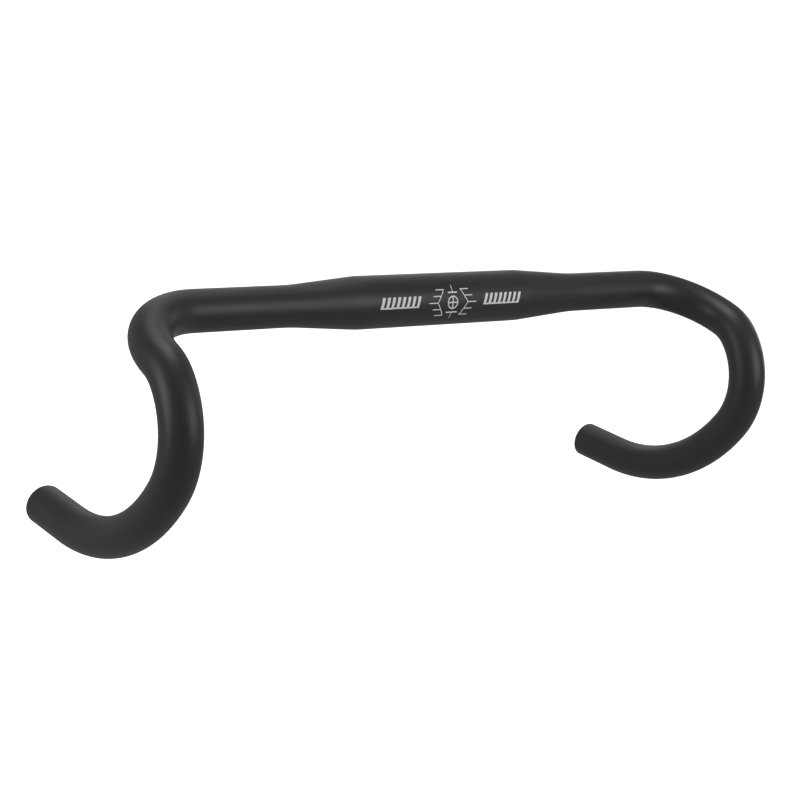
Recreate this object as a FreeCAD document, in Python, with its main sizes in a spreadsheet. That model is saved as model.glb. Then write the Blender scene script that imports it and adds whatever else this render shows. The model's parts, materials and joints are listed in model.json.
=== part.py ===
"""Drop handlebar: one butted, swaged and bent aluminium tube, and the ink marks printed on its centre.

Frame: +X along the bar to the rider's left-hand end, -Y to the front, +Z up, with the ramps level.
The origin is the centre of the stem clamp zone, on the tube's axis. Millimetres and degrees.
"""

import FreeCAD, Part
import math
import os

import Sketcher
from FreeCAD import Vector

DIMENSIONS = [
    ("clamp_radius", 15.9, "outer radius where the stem clamps, a 31.8 mm bar"),
    ("top_radius", 12.25, "outer radius of the tops, where the swaging ends"),
    ("grip_radius", 11.9, "outer radius of the hooks and drops, a 23.8 mm tube"),
    ("clamp_wall", 2.1, "wall under the stem"),
    ("grip_wall", 1.6, "wall of the tops, hooks and drops"),
    ("half_width", 220.0, "centre of the bar to the centre of a drop"),
    ("clamp_end", 60.0, "end of the full-diameter zone, from the centre"),
    ("taper_end", 117.0, "end of the swaged taper, from the centre"),
    ("shoulder_blend", 80.0, "radius that rounds the taper's thick end"),
    ("neck_blend", 180.0, "radius that rounds the taper's thin end"),
    ("front_bend", 45.0, "centre-line radius of the bend from the top to the ramp"),
    ("ramp_bend", 30.0, "centre-line radius of the short bend behind the lever"),
    ("ramp_turn", 29.0, "angle of that bend"),
    ("hook_bend", 48.0, "centre-line radius of the hook"),
    ("hook_turn", 77.0, "angle of the hook"),
    ("drop_bend", 112.0, "centre-line radius of the open curve of the drop"),
    ("drop_turn", 59.0, "angle of that curve"),
    ("tail_length", 32.0, "straight end of the drop"),
    ("mouth_chamfer", 0.4, "deburred edges of the sawn ends"),
    ("ink_thickness", 0.05, "ink standing on the clamp zone"),
    ("print_angle", 22.8, "middle of the prints, above the front of the bar"),
    ("side_print_centre", 40.0, "middle of each side print, from the centre of the bar"),
    ("side_print_length", 31.0, "length of each side print"),
    ("stroke_count", 8, "slanted strokes in a side print"),
    ("stroke_width", 2.0, "width of a stroke along the bar"),
    ("stroke_slant", 1.9, "how far a stroke leans along the bar"),
    ("stroke_top", 4.6, "top of the strokes above the middle of the prints"),
    ("stroke_bottom", -1.8, "foot of the strokes"),
    ("rail_height", 0.9, "line under the strokes, around the bar"),
    ("scale_tip", 12.1, "outer corner of the angle scale's bent line, from the centre of the bar"),
    ("scale_end", 6.8, "ends of that line, from the centre of the bar"),
    ("scale_height", 7.9, "half the height of that line"),
    ("scale_line", 0.6, "thickness of the scale's lines"),
    ("scale_pitch", 14.6, "angle from one tick to the next"),
    ("side_tick", 6.2, "length of the ticks above and below the middle one"),
    ("middle_tick", 6.8, "length of the middle tick"),
    ("target_radius", 4.1, "outside of the ring in the middle of the prints"),
    ("target_line", 0.75, "thickness of the ring and of its cross-hair"),
    ("upper_mark_length", 7.2, "bar of the upper centre mark, along the handlebar"),
    ("lower_mark_length", 8.8, "bar of the lower centre mark, along the handlebar"),
    ("mark_line", 0.85, "thickness of those bars"),
    ("mark_offset", 22.3, "angle from the middle of the prints to each centre mark"),
    ("needle_width", 0.4, "thickness of the needle that leaves each centre mark"),
    ("needle_span", 16.5, "angle that the needle covers"),
]

doc = FreeCAD.newDocument("drop_handlebar")
sheet = doc.addObject("Spreadsheet::Sheet", "Dimensions")
for row, (alias, value, meaning) in enumerate(DIMENSIONS, start=1):
    sheet.set(f"A{row}", meaning)
    sheet.set(f"B{row}", str(value))
    sheet.setAlias(f"B{row}", alias)
doc.recompute()


def size(alias):
    """The number in the sheet under this alias."""
    return float(sheet.get(alias))


# ------------------------------------------------------------------------------------ sketch helpers
ORIGIN = (-1, 1)
X_AXIS = -1
START, END, CENTRE = 1, 2, 3


def plane_sketch(body, name, role, offset=None):
    """A sketch on one of the body's own origin planes, moved along its normal by an expression."""
    sketch = body.newObject("Sketcher::SketchObject", name)
    plane = next(part for part in body.Origin.OriginFeatures if part.Role == role)
    sketch.AttachmentSupport = [(plane, "")]
    sketch.MapMode = "FlatFace"
    if offset:
        sketch.setExpression("AttachmentOffset.Base.z", offset)
    return sketch


def fix(sketch, kind, *geometry):
    """A geometric constraint, such as Tangent or Horizontal."""
    sketch.addConstraint(Sketcher.Constraint(kind, *geometry))


def drive(sketch, kind, name, expression, *geometry):
    """A dimensional constraint that follows the sheet."""
    value = float(sketch.evalExpression(expression))
    if kind == "Angle":
        value = math.radians(value)
    index = sketch.addConstraint(Sketcher.Constraint(kind, *geometry, value))
    sketch.renameConstraint(index, name)
    sketch.setExpression("Constraints." + name, expression)


def arc(centre, radius, start_degrees, end_degrees):
    circle = Part.Circle(centre, Vector(0, 0, 1), radius)
    return Part.ArcOfCircle(circle, math.radians(start_degrees), math.radians(end_degrees))


def closed_outline(sketch, points):
    """Lines from each point to the next and back to the first; gives the lines' numbers."""
    lines = []
    for here, there in zip(points, points[1:] + points[:1]):
        lines.append(sketch.addGeometry(Part.LineSegment(here, there), False))
    for line, following in zip(lines, lines[1:] + lines[:1]):
        fix(sketch, "Coincident", line, END, following, START)
    return lines


# ----------------------------------------------------------------------------------- handlebar tube
def centre_section_sketch(body):
    """Half of the wall's section from the middle of the bar to the front bend, to turn about X."""
    sketch = plane_sketch(body, "centre_section", "XY_Plane")
    thick, thin = size("clamp_radius"), size("top_radius")
    thick_bore = thick - size("clamp_wall")
    thin_bore = thin - size("grip_wall")
    shoulder, neck = size("shoulder_blend"), size("neck_blend")
    clamp_end, taper_end = size("clamp_end"), size("taper_end")
    bend_start = size("half_width") - size("front_bend")
    slope = math.degrees(math.atan((thick - thin) / (taper_end - clamp_end)))
    shoulder_arc = arc(Vector(clamp_end, thick - shoulder), shoulder, 90 - slope, 90)
    neck_arc = arc(Vector(taper_end, thin + neck), neck, 270 - slope, 270)
    pieces = [
        Part.LineSegment(Vector(0, thick), Vector(clamp_end, thick)),
        shoulder_arc,
        Part.LineSegment(shoulder_arc.StartPoint, neck_arc.StartPoint),
        neck_arc,
        Part.LineSegment(Vector(taper_end, thin), Vector(bend_start, thin)),
        Part.LineSegment(Vector(bend_start, thin), Vector(bend_start, thin_bore)),
        Part.LineSegment(Vector(bend_start, thin_bore), Vector(taper_end, thin_bore)),
        Part.LineSegment(Vector(taper_end, thin_bore), Vector(clamp_end, thick_bore)),
        Part.LineSegment(Vector(clamp_end, thick_bore), Vector(0, thick_bore)),
        Part.LineSegment(Vector(0, thick_bore), Vector(0, thick)),
    ]
    (clamp, shoulder_id, flank, neck_id, top, end_face, top_bore, taper_bore, clamp_bore, middle) = [
        sketch.addGeometry(piece, False) for piece in pieces
    ]
    fix(sketch, "Tangent", clamp, END, shoulder_id, END)
    fix(sketch, "Tangent", shoulder_id, START, flank, START)
    fix(sketch, "Tangent", flank, END, neck_id, START)
    fix(sketch, "Tangent", neck_id, END, top, START)
    corners = [top, end_face, top_bore, taper_bore, clamp_bore, middle, clamp]
    for line, following in zip(corners, corners[1:]):
        fix(sketch, "Coincident", line, END, following, START)
    for line in (clamp, top, top_bore, clamp_bore):
        fix(sketch, "Horizontal", line)
    for line in (end_face, middle):
        fix(sketch, "Vertical", line)
    drive(sketch, "DistanceX", "middle_plane", "0 * Dimensions.clamp_end", *ORIGIN, clamp, START)
    drive(sketch, "DistanceX", "clamp_end", "Dimensions.clamp_end", *ORIGIN, clamp, END)
    drive(sketch, "DistanceX", "taper_end", "Dimensions.taper_end", *ORIGIN, top, START)
    bend_start_rule = "Dimensions.half_width - Dimensions.front_bend"
    drive(sketch, "DistanceX", "bend_start", bend_start_rule, *ORIGIN, top, END)
    drive(sketch, "DistanceY", "clamp_radius", "Dimensions.clamp_radius", *ORIGIN, clamp, START)
    drive(sketch, "DistanceY", "top_radius", "Dimensions.top_radius", *ORIGIN, top, START)
    drive(sketch, "Radius", "shoulder_blend", "Dimensions.shoulder_blend", shoulder_id)
    drive(sketch, "Radius", "neck_blend", "Dimensions.neck_blend", neck_id)
    fix(sketch, "Vertical", clamp, END, clamp_bore, START)
    fix(sketch, "Vertical", top, START, top_bore, END)
    drive(sketch, "DistanceY", "clamp_wall", "Dimensions.clamp_wall", middle, START, middle, END)
    drive(sketch, "DistanceY", "grip_wall", "Dimensions.grip_wall", end_face, END, end_face, START)
    return sketch


def wall_ring_sketch(body, name, role, offset, radius_alias, centre_rule=None):
    """The tube's thin wall as two circles about one point on the sketch's X axis."""
    sketch = plane_sketch(body, name, role, offset)
    distance = float(sketch.evalExpression(centre_rule)) if centre_rule else 0
    centre = Vector(distance, 0)
    outer_radius, rule = size(radius_alias), f"Dimensions.{radius_alias}"
    radii = {
        "outside": (outer_radius, rule),
        "inside": (outer_radius - size("grip_wall"), f"{rule} - Dimensions.grip_wall"),
    }
    for side, (radius, rule) in radii.items():
        circle = sketch.addGeometry(Part.Circle(centre, Vector(0, 0, 1), radius), False)
        drive(sketch, "Radius", side, rule, circle)
        if centre_rule:
            fix(sketch, "PointOnObject", circle, CENTRE, X_AXIS)
            drive(sketch, "DistanceX", side + "_centre", centre_rule, *ORIGIN, circle, CENTRE)
        else:
            fix(sketch, "Coincident", circle, CENTRE, *ORIGIN)
    return sketch


def front_bend_path(body):
    """A level quarter turn that carries the top forward into the ramp."""
    sketch = plane_sketch(body, "front_bend_path", "XY_Plane")
    bend_start, radius = size("half_width") - size("front_bend"), size("front_bend")
    quarter = sketch.addGeometry(arc(Vector(bend_start, -radius), radius, 0, 90), False)
    drive(sketch, "Radius", "front_bend", "Dimensions.front_bend", quarter)
    rule = "Dimensions.half_width - Dimensions.front_bend"
    drive(sketch, "DistanceX", "bend_start", rule, *ORIGIN, quarter, END)
    fix(sketch, "PointOnObject", quarter, END, X_AXIS)
    fix(sketch, "Vertical", quarter, END, quarter, CENTRE)
    fix(sketch, "Horizontal", quarter, START, quarter, CENTRE)
    return sketch


def hook_path(body):
    """Three tangent arcs and a straight tail, in the upright plane of the drop."""
    sketch = plane_sketch(body, "hook_path", "YZ_Plane", "Dimensions.half_width")
    point, heading = Vector(-size("front_bend"), 0), 180.0
    bends = []
    for name in ("ramp", "hook", "drop"):
        radius, turn = size(name + "_bend"), size(name + "_turn")
        to_centre = math.radians(heading + 90)
        centre = point + Vector(math.cos(to_centre), math.sin(to_centre)) * radius
        bend = arc(centre, radius, heading - 90, heading - 90 + turn)
        bend_id = sketch.addGeometry(bend, False)
        drive(sketch, "Radius", name + "_bend", f"Dimensions.{name}_bend", bend_id)
        drive(sketch, "Angle", name + "_turn", f"Dimensions.{name}_turn", bend_id)
        if bends:
            fix(sketch, "Tangent", bends[-1], END, bend_id, START)
        bends.append(bend_id)
        point, heading = bend.EndPoint, heading + turn
    along = math.radians(heading)
    tail_end = point + Vector(math.cos(along), math.sin(along)) * size("tail_length")
    tail = sketch.addGeometry(Part.LineSegment(point, tail_end), False)
    fix(sketch, "Tangent", bends[-1], END, tail, START)
    drive(sketch, "Distance", "tail_length", "Dimensions.tail_length", tail, START, tail, END)
    fix(sketch, "PointOnObject", bends[0], START, X_AXIS)
    fix(sketch, "Vertical", bends[0], START, bends[0], CENTRE)
    drive(sketch, "DistanceX", "ramp_start", "Dimensions.front_bend", bends[0], START, *ORIGIN)
    return sketch


def sweep(body, name, profile, path, last_profile=None):
    """The profile carried along every edge of the path, to become the last profile if there is one."""
    doc.recompute()
    pipe = body.newObject("PartDesign::AdditivePipe", name)
    pipe.Profile = profile
    pipe.Spine = (path, [f"Edge{number}" for number in range(1, len(path.Shape.Edges) + 1)])
    pipe.Mode = "Frenet"
    if last_profile:
        pipe.Transformation = "Multisection"
        pipe.Sections = [(last_profile, "")]
    return pipe


def mouth_edges(shape, mouths):
    """The names of the round edges of the sawn ends."""
    names = []
    for number, edge in enumerate(shape.Edges, start=1):
        if isinstance(edge.Curve, Part.Circle):
            centre = edge.Curve.Center
            if min(centre.distanceToPoint(mouth) for mouth in mouths) < size("mouth_chamfer") / 2:
                names.append(f"Edge{number}")
    return names


def handlebar_tube():
    body = doc.addObject("PartDesign::Body", "handlebar_tube")
    body.Label = "handlebar_tube"
    section = centre_section_sketch(body)
    centre = body.newObject("PartDesign::Revolution", "centre_and_taper")
    centre.Profile = section
    centre.ReferenceAxis = (section, ["H_Axis"])
    centre.Angle = 360

    bend_start = "Dimensions.half_width - Dimensions.front_bend"
    front_ring = wall_ring_sketch(body, "front_bend_wall", "YZ_Plane", bend_start, "top_radius")
    half_width = "Dimensions.half_width"
    hook_ring = wall_ring_sketch(
        body, "hook_wall", "XZ_Plane", "Dimensions.front_bend", "grip_radius", half_width
    )
    front = sweep(body, "front_bend_pipe", front_ring, front_bend_path(body), hook_ring)
    path = hook_path(body)
    hook = sweep(body, "hook_pipe", hook_ring, path)
    doc.recompute()

    other_half = body.newObject("PartDesign::Mirrored", "other_half")
    other_half.Originals = [centre, front, hook]
    plane = next(part for part in body.Origin.OriginFeatures if part.Role == "YZ_Plane")
    other_half.MirrorPlane = (plane, [""])
    body.Tip = other_half
    doc.recompute()

    mouth = path.Shape.Edges[-1].Vertexes[-1].Point
    mouths = [mouth, Vector(-mouth.x, mouth.y, mouth.z)]
    deburr = body.newObject("PartDesign::Chamfer", "deburred_mouths")
    deburr.Base = (other_half, mouth_edges(other_half.Shape, mouths))
    deburr.setExpression("Size", "Dimensions.mouth_chamfer")
    body.Tip = deburr
    return body


# ------------------------------------------------------------------------------------------- prints
def around(length_rule):
    """The angle that a length measured around the clamp zone covers, in degrees."""
    return f"(({length_rule}) / Dimensions.clamp_radius * 180 / pi)"


def ink_tile(name, x_rule, length_rule, angle_rule, span_rule):
    """A patch of ink that follows the clamp zone: from x along +X, and from an angle upwards.

    Angles count from the front of the bar up over its top.
    """
    base = f"vector(({x_rule}) + ({length_rule}); 0; 0)"
    turn = f"rotation(vector(0; 1; 0); -90) * rotation(vector(0; 0; 1); 270 + ({angle_rule}))"
    solids = {}
    for side, radius_rule, side_span in (
        ("outside", "Dimensions.clamp_radius + Dimensions.ink_thickness", span_rule),
        ("inside", "Dimensions.clamp_radius", "360"),
    ):
        solid = doc.addObject("Part::Cylinder", f"{name}_{side}")
        solid.setExpression("Radius", radius_rule)
        solid.setExpression("Height", length_rule)
        solid.setExpression("Angle", side_span)
        solid.setExpression("Placement", f"placement({base}; {turn})")
        solids[side] = solid
    tile = doc.addObject("Part::Cut", name)
    tile.Base = solids["outside"]
    tile.Tool = solids["inside"]
    return tile


def wrapped_on_bar(name, prism, shell):
    """The prism's outline as a thin patch of ink on the clamp zone."""
    patch = doc.addObject("Part::Common", name)
    patch.Base = prism
    patch.Tool = shell
    return patch


def joined(label, patches):
    """One print made of patches that touch."""
    print_solid = doc.addObject("Part::MultiFuse", label)
    print_solid.Shapes = patches
    print_solid.Refine = True
    print_solid.Label = label
    return print_solid


def print_prism(name, x_rule):
    """An empty body whose XZ plane faces the middle of the prints, and whose pads reach past the bar."""
    body = doc.addObject("PartDesign::Body", name)
    tilt = "rotation(vector(1; 0; 0); -Dimensions.print_angle)"
    body.setExpression("Placement", f"placement(vector({x_rule}; 0; 0); {tilt})")
    return body


def pad_through(body, name, sketch):
    pad = body.newObject("PartDesign::Pad", name)
    pad.Profile = sketch
    pad.setExpression("Length", "Dimensions.clamp_radius + Dimensions.clamp_wall")
    return pad


def side_print(label, sign, shell):
    """A row of forward-slanted strokes standing on a line."""
    centre = f"{sign} * Dimensions.side_print_centre"
    body = print_prism(f"{label}_outline", centre)
    sketch = plane_sketch(body, f"{label}_stroke", "XZ_Plane")
    left, width, slant = -size("side_print_length") / 2, size("stroke_width"), size("stroke_slant")
    foot, head = size("stroke_bottom"), size("stroke_top")
    corners = [
        Vector(left, foot),
        Vector(left + width, foot),
        Vector(left + width + slant, head),
        Vector(left + slant, head),
    ]
    base, right, top, left_side = closed_outline(sketch, corners)
    fix(sketch, "Horizontal", base)
    fix(sketch, "Horizontal", top)
    fix(sketch, "Parallel", right, left_side)
    drive(sketch, "DistanceX", "width", "Dimensions.stroke_width", base, START, base, END)
    drive(sketch, "DistanceX", "slant", "Dimensions.stroke_slant", right, START, right, END)
    drive(sketch, "DistanceY", "foot", "Dimensions.stroke_bottom", *ORIGIN, base, START)
    drive(sketch, "DistanceY", "head", "Dimensions.stroke_top", *ORIGIN, top, START)
    drive(sketch, "DistanceX", "left", "-Dimensions.side_print_length / 2", *ORIGIN, base, START)
    stroke = pad_through(body, f"{label}_pad", sketch)

    row = body.newObject("PartDesign::LinearPattern", f"{label}_row")
    row.Originals = [stroke]
    row.Direction = (sketch, ["H_Axis"])
    span = "Dimensions.side_print_length - Dimensions.stroke_width - Dimensions.stroke_slant"
    row.setExpression("Length", span)
    row.setExpression("Occurrences", "Dimensions.stroke_count")
    body.Tip = row

    rail = ink_tile(
        f"{label}_rail",
        f"{centre} - Dimensions.side_print_length / 2",
        "Dimensions.side_print_length - Dimensions.stroke_slant",
        f"Dimensions.print_angle + {around('Dimensions.stroke_bottom - Dimensions.rail_height / 2')}",
        around("Dimensions.rail_height"),
    )
    return joined(label, [wrapped_on_bar(f"{label}_strokes", body, shell), rail])


def angle_scale(label, sign, shell):
    """A bent line that points away from the centre, with five ticks at even angles."""

    def outward(near, far):
        """The point nearer the centre and the farther one, in the order of rising X."""
        return (*near, *far) if sign > 0 else (*far, *near)

    body = print_prism(f"{label}_outline", "0")
    sketch = plane_sketch(body, f"{label}_bent_line", "XZ_Plane")
    tip, end, height, line = size("scale_tip"), size("scale_end"), size("scale_height"), size("scale_line")
    corners = [
        Vector(sign * tip, 0),
        Vector(sign * end, height),
        Vector(sign * (end - line), height),
        Vector(sign * (tip - line), 0),
        Vector(sign * (end - line), -height),
        Vector(sign * end, -height),
    ]
    outer_up, top, inner_up, inner_down, foot, outer_down = closed_outline(sketch, corners)
    fix(sketch, "Horizontal", top)
    fix(sketch, "Horizontal", foot)
    fix(sketch, "Parallel", outer_up, inner_up)
    fix(sketch, "Parallel", outer_down, inner_down)
    fix(sketch, "PointOnObject", outer_up, START, X_AXIS)
    fix(sketch, "PointOnObject", inner_up, END, X_AXIS)
    fix(sketch, "Vertical", top, START, foot, END)
    drive(sketch, "DistanceY", "height", "Dimensions.scale_height", *ORIGIN, top, START)
    drive(sketch, "DistanceY", "depth", "Dimensions.scale_height", foot, END, *ORIGIN)
    drive(sketch, "DistanceX", "tip", "Dimensions.scale_tip", *outward(ORIGIN, (outer_up, START)))
    drive(sketch, "DistanceX", "end", "Dimensions.scale_end", *outward(ORIGIN, (top, START)))
    drive(sketch, "DistanceX", "line", "Dimensions.scale_line", *outward((top, END), (top, START)))
    pad_through(body, f"{label}_pad", sketch)

    patches = [wrapped_on_bar(f"{label}_line", body, shell)]
    line_span = around("Dimensions.scale_line")
    lean = "(Dimensions.scale_tip - Dimensions.scale_end) / Dimensions.scale_height"
    for step in (-2, -1, 0, 1, 2):
        length = "Dimensions.middle_tick" if step == 0 else "Dimensions.side_tick"
        angle = f"({step}) * Dimensions.scale_pitch"
        rise = f"abs(sin({angle} * 1 deg)) * Dimensions.clamp_radius"
        inner = f"(Dimensions.scale_tip - {lean} * {rise} - Dimensions.scale_line / 2)"
        x_rule = inner if sign > 0 else f"-({inner} + {length})"
        start = f"Dimensions.print_angle + {angle} - {line_span} / 2"
        patches.append(ink_tile(f"{label}_tick_{step + 3}", x_rule, length, start, line_span))
    return joined(label, patches)


def centre_print(shell):
    """A ring with a cross-hair, in the middle of the prints."""
    label = "centre_print"
    body = print_prism(f"{label}_outline", "0")
    sketch = plane_sketch(body, f"{label}_ring", "XZ_Plane")
    outside, line = size("target_radius"), size("target_line")
    rules = {
        "outside": (outside, "Dimensions.target_radius"),
        "inside": (outside - line, "Dimensions.target_radius - Dimensions.target_line"),
    }
    for side, (radius, rule) in rules.items():
        circle = sketch.addGeometry(Part.Circle(Vector(0, 0), Vector(0, 0, 1), radius), False)
        fix(sketch, "Coincident", circle, CENTRE, *ORIGIN)
        drive(sketch, "Radius", side, rule, circle)
    pad_through(body, f"{label}_pad", sketch)
    reach = "(Dimensions.target_radius - Dimensions.target_line / 2)"
    level = ink_tile(
        f"{label}_level_line",
        f"-{reach}",
        f"2 * {reach}",
        f"Dimensions.print_angle - {around('Dimensions.target_line')} / 2",
        around("Dimensions.target_line"),
    )
    upright = ink_tile(
        f"{label}_upright_line",
        "-Dimensions.target_line / 2",
        "Dimensions.target_line",
        f"Dimensions.print_angle - {around(reach)}",
        f"2 * {around(reach)}",
    )
    return joined(label, [wrapped_on_bar(f"{label}_circle", body, shell), level, upright])


def centre_mark(label, sign):
    """A short level bar with a needle that leads away from the middle of the prints."""
    length = "Dimensions.upper_mark_length" if sign > 0 else "Dimensions.lower_mark_length"
    bar_span = around("Dimensions.mark_line")
    middle = f"Dimensions.print_angle + ({sign}) * Dimensions.mark_offset"
    bar = ink_tile(
        f"{label}_bar",
        f"-{length} / 2",
        length,
        f"{middle} - {bar_span} / 2",
        bar_span,
    )
    needle_start = middle if sign > 0 else f"{middle} - Dimensions.needle_span"
    needle = ink_tile(
        f"{label}_needle",
        "-Dimensions.needle_width / 2",
        "Dimensions.needle_width",
        needle_start,
        "Dimensions.needle_span",
    )
    return joined(label, [bar, needle])


# -------------------------------------------------------------------------------- build and write
def build():
    shell = ink_tile("ink_shell", "-Dimensions.clamp_end", "2 * Dimensions.clamp_end", "0", "360")
    return [
        handlebar_tube(),
        side_print("left_side_print", -1, shell),
        side_print("right_side_print", 1, shell),
        angle_scale("left_angle_scale", -1, shell),
        angle_scale("right_angle_scale", 1, shell),
        centre_print(shell),
        centre_mark("upper_centre_mark", 1),
        centre_mark("lower_centre_mark", -1),
    ]


def check(sub_parts):
    """Stops with a message if a feature failed or a sub-part is not one whole solid."""
    for item in doc.Objects:
        if "Invalid" in item.State or "Error" in item.State:
            raise RuntimeError(f"{item.Name} failed: {item.State}")
    for sub_part in sub_parts:
        shape = sub_part.Shape
        if shape.isNull() or not shape.isValid() or len(shape.Solids) != 1:
            raise RuntimeError(f"{sub_part.Label} is not one valid solid")
    grip, wall = size("grip_radius"), size("grip_wall")
    front_middle = (size("top_radius") + grip) / 2
    for name, outer in (("front_bend", front_middle), ("hook", grip)):
        section = math.pi * (outer**2 - (outer - wall) ** 2)
        expected = section * doc.getObject(f"{name}_path").Shape.Length
        swept = doc.getObject(f"{name}_pipe").AddSubShape.Volume
        if abs(swept / expected - 1) > 0.002:
            raise RuntimeError(f"{name}_pipe holds {swept:.0f} mm3, not {expected:.0f}")


def write(sub_parts):
    os.makedirs("parts", exist_ok=True)
    for sub_part in sub_parts:
        sub_part.Shape.exportStep(f"parts/{sub_part.Label}.step")
        box = sub_part.Shape.BoundBox
        print(f"{sub_part.Label}: {box.XLength:.2f} x {box.YLength:.2f} x {box.ZLength:.2f} mm")


nodes = build()
doc.recompute()
check(nodes)
write(nodes)
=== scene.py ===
"""Looks of the drop handlebar: the bent tube as a fine mesh, its satin black finish, the printed ink,
and a plain studio. Metres, in the same frame as the CAD model.
"""

import json
import math

import bpy
from mathutils import Matrix, Vector


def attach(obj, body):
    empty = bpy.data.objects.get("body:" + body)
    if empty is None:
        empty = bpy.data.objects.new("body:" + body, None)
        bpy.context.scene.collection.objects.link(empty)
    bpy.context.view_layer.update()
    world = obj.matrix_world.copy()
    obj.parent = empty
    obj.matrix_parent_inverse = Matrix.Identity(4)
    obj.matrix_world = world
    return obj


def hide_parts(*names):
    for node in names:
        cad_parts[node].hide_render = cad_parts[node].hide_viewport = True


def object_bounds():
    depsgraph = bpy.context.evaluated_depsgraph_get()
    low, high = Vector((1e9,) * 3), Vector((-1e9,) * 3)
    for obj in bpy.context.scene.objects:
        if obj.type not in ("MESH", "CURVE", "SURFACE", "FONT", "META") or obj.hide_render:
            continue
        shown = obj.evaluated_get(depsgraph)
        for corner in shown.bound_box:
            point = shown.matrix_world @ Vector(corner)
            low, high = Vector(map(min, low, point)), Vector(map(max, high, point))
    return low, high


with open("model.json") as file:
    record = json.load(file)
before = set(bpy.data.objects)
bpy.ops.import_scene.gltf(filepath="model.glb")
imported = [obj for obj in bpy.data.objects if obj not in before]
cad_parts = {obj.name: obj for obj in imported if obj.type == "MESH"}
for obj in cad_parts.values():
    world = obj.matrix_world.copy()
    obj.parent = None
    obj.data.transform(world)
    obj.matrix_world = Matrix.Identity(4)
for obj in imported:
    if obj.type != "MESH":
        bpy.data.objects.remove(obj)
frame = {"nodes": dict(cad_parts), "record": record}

MM = 0.001
CAD_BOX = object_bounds()
MOUNTS = {mount["name"]: mount for mount in frame["record"]["mounts"]}

# ------------------------------------------------------------------------------- sizes of the tube
CLAMP_RADIUS = MOUNTS["stem_clamp"]["dims"]["r_mm"] * MM
CLAMP_END = MOUNTS["stem_clamp"]["dims"]["length_mm"] / 2 * MM
GRIP_RADIUS = MOUNTS["right_lever_clamp"]["dims"]["r_mm"] * MM
BORE_RADIUS = MOUNTS["right_end_bore"]["dims"]["r_mm"] * MM
HALF_WIDTH = MOUNTS["right_end_bore"]["pos_m"][0]
CLAMP_WALL = 2.1 * MM
TOP_RADIUS = 12.25 * MM
TAPER_END = 117 * MM
SHOULDER_BLEND = 80 * MM
NECK_BLEND = 180 * MM
FRONT_BEND = 45 * MM
HOOK_BENDS = [(30 * MM, 29), (48 * MM, 77), (112 * MM, 59)]
TAIL_LENGTH = 32 * MM
MOUTH_ROUNDING = 0.4 * MM

# ------------------------------------------------------------------------------- fineness of the mesh
AROUND = 72
OUTSIDE_STEP = 2 * MM
BORE_STEP = 6 * MM
ROUNDING_STEPS = 3


def grid_faces(rings, around):
    """Quads between each ring of points and the next, the last ring joined to the first."""
    faces = []
    for ring in range(rings):
        following = (ring + 1) % rings
        for spoke in range(around):
            after = (spoke + 1) % around
            here, there = ring * around, following * around
            faces.append((here + spoke, here + after, there + after, there + spoke))
    return faces


# ------------------------------------------------------------------------------------- tube's shape
def turned(vector, axis, angle):
    return Matrix.Rotation(angle, 3, axis) @ vector


def taper_slope():
    """The angle of the straight flank that touches both of the taper's rounding arcs."""
    run = TAPER_END - CLAMP_END
    arcs = SHOULDER_BLEND + NECK_BLEND
    rise = arcs - (CLAMP_RADIUS - TOP_RADIUS)
    return math.asin(arcs / math.hypot(run, rise)) - math.atan2(rise, run)


def outside_radius(distance):
    """The tube's outer radius at a distance from the middle of the bar, along its centre line."""
    slope = taper_slope()
    shoulder_end = CLAMP_END + SHOULDER_BLEND * math.sin(slope)
    neck_start = TAPER_END - NECK_BLEND * math.sin(slope)
    if distance <= CLAMP_END:
        return CLAMP_RADIUS
    if distance <= shoulder_end:
        drop = SHOULDER_BLEND - math.sqrt(SHOULDER_BLEND**2 - (distance - CLAMP_END) ** 2)
        return CLAMP_RADIUS - drop
    if distance <= neck_start:
        start = CLAMP_RADIUS - SHOULDER_BLEND * (1 - math.cos(slope))
        return start - (distance - shoulder_end) * math.tan(slope)
    if distance < TAPER_END:
        return TOP_RADIUS + NECK_BLEND - math.sqrt(NECK_BLEND**2 - (TAPER_END - distance) ** 2)
    return TOP_RADIUS + (GRIP_RADIUS - TOP_RADIUS) * front_bend_share(distance)


def front_bend_share(distance):
    """0 up to the front bend, 1 after it, and in between the share of the bend that is passed."""
    share = (distance - (HALF_WIDTH - FRONT_BEND)) / (FRONT_BEND * math.pi / 2)
    return min(max(share, 0), 1)


def bore_radius(distance):
    thick_bore = CLAMP_RADIUS - CLAMP_WALL
    thin_wall = GRIP_RADIUS - BORE_RADIUS
    if distance > TAPER_END:
        return outside_radius(distance) - thin_wall
    share = max(distance - CLAMP_END, 0) / (TAPER_END - CLAMP_END)
    return thick_bore + (TOP_RADIUS - thin_wall - thick_bore) * share


def path_pieces():
    """The centre line from the middle to one mouth: (length, turn, axis of the turn) of each piece."""
    pieces = [(HALF_WIDTH - FRONT_BEND, 0, None)]
    pieces.append((FRONT_BEND * math.pi / 2, -math.pi / 2, Vector((0, 0, 1))))
    for radius, degrees in HOOK_BENDS:
        angle = math.radians(degrees)
        pieces.append((radius * angle, angle, Vector((1, 0, 0))))
    pieces.append((TAIL_LENGTH, 0, None))
    return pieces


HALF_LENGTH = sum(length for length, turn, axis in path_pieces())


def at_distance(distance):
    """The point, direction and side of the right half's centre line at a distance from the middle."""
    point, along, side = Vector((0, 0, 0)), Vector((1, 0, 0)), Vector((0, 0, 1))
    for length, turn, axis in path_pieces():
        step = min(distance, length)
        if turn:
            angle = turn * step / length
            radius = length / abs(turn)
            inward = axis.cross(along) * math.copysign(1, turn)
            forward = radius * math.sin(abs(angle))
            sideways = radius * (1 - math.cos(angle))
            point = point + along * forward + inward * sideways
            along, side = turned(along, axis, angle), turned(side, axis, angle)
        else:
            point = point + along * step
        distance -= step
        if distance <= 0:
            break
    return point, along, side


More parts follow.
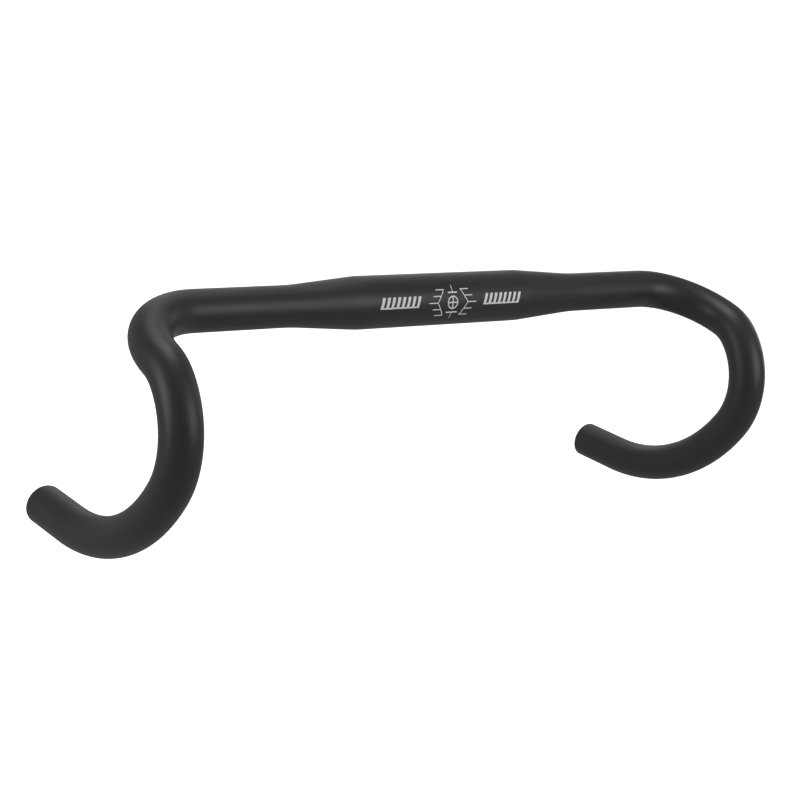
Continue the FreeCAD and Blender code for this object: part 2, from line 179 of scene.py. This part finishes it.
def ring_of_points(station, radius):
    """Points around the centre line; a negative station is on the left half."""
    point, along, side = at_distance(abs(station))
    across = along.cross(side)
    points = []
    for spoke in range(AROUND):
        angle = 2 * math.pi * spoke / AROUND
        place = point + (side * math.cos(angle) + across * math.sin(angle)) * radius
        points.append(Vector((-place.x, place.y, place.z)) if station < 0 else place)
    return points


def evenly(start, stop, step):
    count = max(1, round(abs(stop - start) / step))
    return [start + (stop - start) * number / count for number in range(count + 1)]


def wall_profile():
    """(station, radius) of every ring: outside from left to right, round the right mouth, the bore
    back to the left, and round the left mouth."""
    edge = HALF_LENGTH - MOUTH_ROUNDING
    outside = [(place, outside_radius(abs(place))) for place in evenly(-edge, edge, OUTSIDE_STEP)]
    bore = [(place, bore_radius(abs(place))) for place in evenly(edge, -edge, BORE_STEP)]
    outer_lip, inner_lip = [], []
    for number in range(1, ROUNDING_STEPS + 1):
        angle = math.pi / 2 * number / ROUNDING_STEPS
        forward = edge + MOUTH_ROUNDING * math.sin(angle)
        inset = MOUTH_ROUNDING * (1 - math.cos(angle))
        outer_lip.append((forward, GRIP_RADIUS - inset))
        inner_lip.append((forward, BORE_RADIUS + inset))
    right_mouth = outer_lip + inner_lip[::-1]
    left_mouth = [(-place, radius) for place, radius in right_mouth[::-1]]
    return outside + right_mouth + bore + left_mouth


def tube():
    profile = wall_profile()
    points = [point for station, radius in profile for point in ring_of_points(station, radius)]
    mesh = bpy.data.meshes.new("tube")
    mesh.from_pydata(points, [], grid_faces(len(profile), AROUND))
    mesh.validate()
    mesh.update()
    along = mesh.attributes.new("along", "FLOAT", "POINT")
    around = mesh.attributes.new("around", "FLOAT", "POINT")
    mouth = mesh.attributes.new("mouth", "FLOAT", "POINT")
    for ring, (station, radius) in enumerate(profile):
        from_mouth = HALF_LENGTH - abs(station)
        for spoke in range(AROUND):
            number = ring * AROUND + spoke
            along.data[number].value = station
            around.data[number].value = spoke / AROUND
            mouth.data[number].value = max(0.0, 1 - from_mouth / (2 * MOUTH_ROUNDING))
    for polygon in mesh.polygons:
        polygon.use_smooth = True
    piece = bpy.data.objects.new("bent_tube", mesh)
    bpy.context.scene.collection.objects.link(piece)
    return piece


# --------------------------------------------------------------------------------------- materials
BLACK_DARKER = (0.0165, 0.0165, 0.017, 1)
BLACK_LIGHTER = (0.0225, 0.0225, 0.023, 1)
DEBURRED_EDGE = (0.04, 0.04, 0.041, 1)
INK_DARKER = (0.86, 0.86, 0.85, 1)
INK_LIGHTER = (0.95, 0.95, 0.94, 1)
INK_PINHOLE = (0.08, 0.08, 0.08, 1)
FLOOR_DARKER = (0.90, 0.90, 0.90, 1)
FLOOR_LIGHTER = (0.92, 0.92, 0.92, 1)
FLOOR_ROUGHNESS = 0.9
FLOOR_GLOW = 0.76


class Nodes:
    """A material's node tree, with short ways to add and join nodes."""

    def __init__(self, name):
        self.material = bpy.data.materials.new(name)
        self.material.use_nodes = True
        self.tree = self.material.node_tree
        self.shader = self.tree.nodes["Principled BSDF"]

    def add(self, kind, **values):
        node = self.tree.nodes.new(kind)
        for name, value in values.items():
            socket = node.inputs.get(name.replace("_", " "))
            if socket is None:
                setattr(node, name, value)
            else:
                self.set(socket, value)
        return node

    def set(self, socket, value):
        if isinstance(value, bpy.types.NodeSocket):
            self.tree.links.new(value, socket)
        else:
            socket.default_value = value

    def noise(self, scale, detail=2.0, roughness=0.5, where=None):
        if where is None:
            where = self.add("ShaderNodeTexCoord").outputs["Object"]
        node = self.add(
            "ShaderNodeTexNoise", Vector=where, Scale=scale, Detail=detail, Roughness=roughness
        )
        return node.outputs["Fac"]

    def spread(self, value, low, high, start=0.0, stop=1.0):
        """The value, from start to stop, stretched to run from low to high."""
        node = self.add("ShaderNodeMapRange", Value=value)
        node.inputs["From Min"].default_value = start
        node.inputs["From Max"].default_value = stop
        node.inputs["To Min"].default_value = low
        node.inputs["To Max"].default_value = high
        return node.outputs["Result"]

    def mix(self, share, first, second):
        node = self.add("ShaderNodeMix", data_type="RGBA")
        self.set(node.inputs["Factor"], share)
        self.set(node.inputs["A"], first)
        self.set(node.inputs["B"], second)
        return node.outputs["Result"]

    def maths(self, operation, first, second):
        node = self.add("ShaderNodeMath", operation=operation)
        self.set(node.inputs[0], first)
        self.set(node.inputs[1], second)
        return node.outputs["Value"]

    def bump(self, height, distance, strength, below=None):
        node = self.add("ShaderNodeBump", Height=height, Distance=distance, Strength=strength)
        if below is not None:
            self.set(node.inputs["Normal"], below)
        return node.outputs["Normal"]


def black_anodised():
    """Satin black: fine blasted grain, faint lines from drawing the tube, a little handling shine."""
    nodes = Nodes("black_anodised")
    along = nodes.add("ShaderNodeAttribute", attribute_name="along").outputs["Fac"]
    around = nodes.add("ShaderNodeAttribute", attribute_name="around").outputs["Fac"]
    mouth = nodes.add("ShaderNodeAttribute", attribute_name="mouth").outputs["Fac"]

    cloud = nodes.noise(scale=28, detail=4)
    grain = nodes.noise(scale=5200, detail=2, roughness=0.6)
    ripple = nodes.noise(scale=160, detail=3)
    lines_place = nodes.add("ShaderNodeCombineXYZ", X=nodes.maths("MULTIPLY", along, 6), Y=around)
    lines = nodes.noise(scale=260, detail=3, where=lines_place.outputs["Vector"])

    shade = nodes.spread(nodes.maths("ADD", cloud, grain), 0.0, 1.0, 0.7, 1.3)
    body_colour = nodes.mix(shade, BLACK_DARKER, BLACK_LIGHTER)
    nodes.set(nodes.shader.inputs["Base Color"], nodes.mix(mouth, body_colour, DEBURRED_EDGE))

    satin = nodes.spread(cloud, 0.41, 0.49, 0.3, 0.7)
    streaked = nodes.maths("ADD", satin, nodes.spread(lines, -0.025, 0.025, 0.3, 0.7))
    nodes.set(nodes.shader.inputs["Roughness"], streaked)

    waves = nodes.bump(ripple, 0.02 * MM, 0.35)
    drawn = nodes.bump(lines, 0.01 * MM, 0.25, waves)
    nodes.set(nodes.shader.inputs["Normal"], nodes.bump(grain, 0.01 * MM, 0.5, drawn))
    return nodes.material


def white_ink():
    """Pad-printed ink: matt off-white, thin in places, with pinholes that show the black."""
    nodes = Nodes("white_ink")
    patches = nodes.noise(scale=900, detail=3)
    pores = nodes.noise(scale=4200, detail=2)
    tone = nodes.spread(patches, 0.0, 1.0, 0.3, 0.7)
    ink = nodes.mix(tone, INK_DARKER, INK_LIGHTER)
    holes = nodes.spread(pores, 0.0, 1.0, 0.66, 0.74)
    nodes.set(nodes.shader.inputs["Base Color"], nodes.mix(holes, ink, INK_PINHOLE))
    nodes.set(nodes.shader.inputs["Roughness"], nodes.spread(patches, 0.45, 0.62, 0.3, 0.7))
    nodes.set(nodes.shader.inputs["Normal"], nodes.bump(pores, 0.02 * MM, 0.4))
    return nodes.material


def pale_floor():
    """A white floor lit from below like a light table, so that hardly any shadow shows on it."""
    nodes = Nodes("studio_floor")
    tone = nodes.spread(nodes.noise(scale=3, detail=2), 0.0, 1.0, 0.3, 0.7)
    nodes.set(nodes.shader.inputs["Base Color"], nodes.mix(tone, FLOOR_DARKER, FLOOR_LIGHTER))
    nodes.shader.inputs["Roughness"].default_value = FLOOR_ROUGHNESS
    nodes.shader.inputs["Emission Color"].default_value = (1, 1, 1, 1)
    nodes.shader.inputs["Emission Strength"].default_value = FLOOR_GLOW
    return nodes.material


# ------------------------------------------------------------------------------------------- studio
CAMERA_PLACE = Vector((-0.7125, -0.7202, 0.4557))
CAMERA_AIM = Vector((-0.0217, -0.0212, -0.0581))
CAMERA_ROLL = math.radians(19.25)
CAMERA_LENS_MM = 81.80
CAMERA_SENSOR_MM = 36
FLOOR_SIZE = 12.0
FLOOR_DROP = 0.4
FILL_ABOVE = 0.25
FILL_BELOW = 0.37
HORIZON_BLEND = 0.2
SOFTBOX_DISTANCE = 1.5
SOFTBOXES = [  # name, azimuth, elevation, width and height in metres, watts
    ("left_softbox", -100, 10, 0.55, 0.82, 5.4),
    ("right_softbox", 30, 35, 0.82, 0.82, 6.5),
    ("high_rear_softbox", 180, 62, 0.9, 0.9, 8.0),
    ("side_softbox", 100, 10, 0.55, 0.82, 1.2),
    ("rear_softbox", 150, 10, 1.1, 0.82, 1.7),
]


def studio_camera():
    data = bpy.data.cameras.new("camera")
    data.lens = CAMERA_LENS_MM
    data.sensor_width = CAMERA_SENSOR_MM
    camera = bpy.data.objects.new("camera", data)
    bpy.context.scene.collection.objects.link(camera)
    level = (CAMERA_AIM - CAMERA_PLACE).to_track_quat("-Z", "Y").to_matrix()
    turn = level @ Matrix.Rotation(CAMERA_ROLL, 3, "Z")
    camera.matrix_world = Matrix.Translation(CAMERA_PLACE) @ turn.to_4x4()
    bpy.context.scene.camera = camera


def softbox(name, azimuth, elevation, width, height, power):
    """A soft area light that faces the bar; azimuth 0 is in front, and 90 is at +X."""
    turn, rise = math.radians(azimuth), math.radians(elevation)
    level = math.cos(rise)
    outward = Vector((math.sin(turn) * level, -math.cos(turn) * level, math.sin(rise)))
    data = bpy.data.lights.new(name, "AREA")
    data.shape = "RECTANGLE"
    data.size = width
    data.size_y = height
    data.energy = power
    light = bpy.data.objects.new(name, data)
    bpy.context.scene.collection.objects.link(light)
    middle = (Vector(CAD_BOX[0]) + Vector(CAD_BOX[1])) / 2
    facing = (-outward).to_track_quat("-Z", "Y").to_matrix().to_4x4()
    light.matrix_world = Matrix.Translation(middle + outward * SOFTBOX_DISTANCE) @ facing


def studio_world():
    """A white room that the bar sees dimmed: a little brighter below, where the floor sends light up."""
    world = bpy.data.worlds.new("studio")
    world.use_nodes = True
    tree = world.node_tree
    background = tree.nodes["Background"]
    background.inputs["Color"].default_value = (1, 1, 1, 1)
    direction = tree.nodes.new("ShaderNodeTexCoord")
    height = tree.nodes.new("ShaderNodeSeparateXYZ")
    tree.links.new(direction.outputs["Generated"], height.inputs["Vector"])
    fill = tree.nodes.new("ShaderNodeMapRange")
    tree.links.new(height.outputs["Z"], fill.inputs["Value"])
    fill.inputs["From Min"].default_value = -HORIZON_BLEND
    fill.inputs["From Max"].default_value = HORIZON_BLEND
    fill.inputs["To Min"].default_value = FILL_BELOW
    fill.inputs["To Max"].default_value = FILL_ABOVE
    ray = tree.nodes.new("ShaderNodeLightPath")
    seen = tree.nodes.new("ShaderNodeMath")
    seen.operation = "MAXIMUM"
    tree.links.new(ray.outputs["Is Camera Ray"], seen.inputs[0])
    tree.links.new(fill.outputs["Result"], seen.inputs[1])
    tree.links.new(seen.outputs["Value"], background.inputs["Strength"])
    bpy.context.scene.world = world


def studio_floor():
    half = FLOOR_SIZE / 2
    corners = [(-half, -half, 0), (half, -half, 0), (half, half, 0), (-half, half, 0)]
    mesh = bpy.data.meshes.new("studio_floor")
    mesh.from_pydata(corners, [], [(0, 1, 2, 3)])
    mesh.materials.append(pale_floor())
    floor = bpy.data.objects.new("studio_floor", mesh)
    floor.location.z = CAD_BOX[0][2] - FLOOR_DROP
    floor.visible_diffuse = False
    floor.visible_glossy = False
    bpy.context.scene.collection.objects.link(floor)


def studio():
    bpy.context.scene.view_settings.view_transform = "Standard"
    studio_world()
    studio_floor()
    for settings in SOFTBOXES:
        softbox(*settings)


# --------------------------------------------------------------------------------------------- build
piece = tube()
piece.data.materials.append(black_anodised())
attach(piece, "root")
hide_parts("handlebar_tube")

ink = white_ink()
for name, node in frame["nodes"].items():
    if name != "handlebar_tube":
        node.data.materials.clear()
        node.data.materials.append(ink)

studio_camera()
studio()
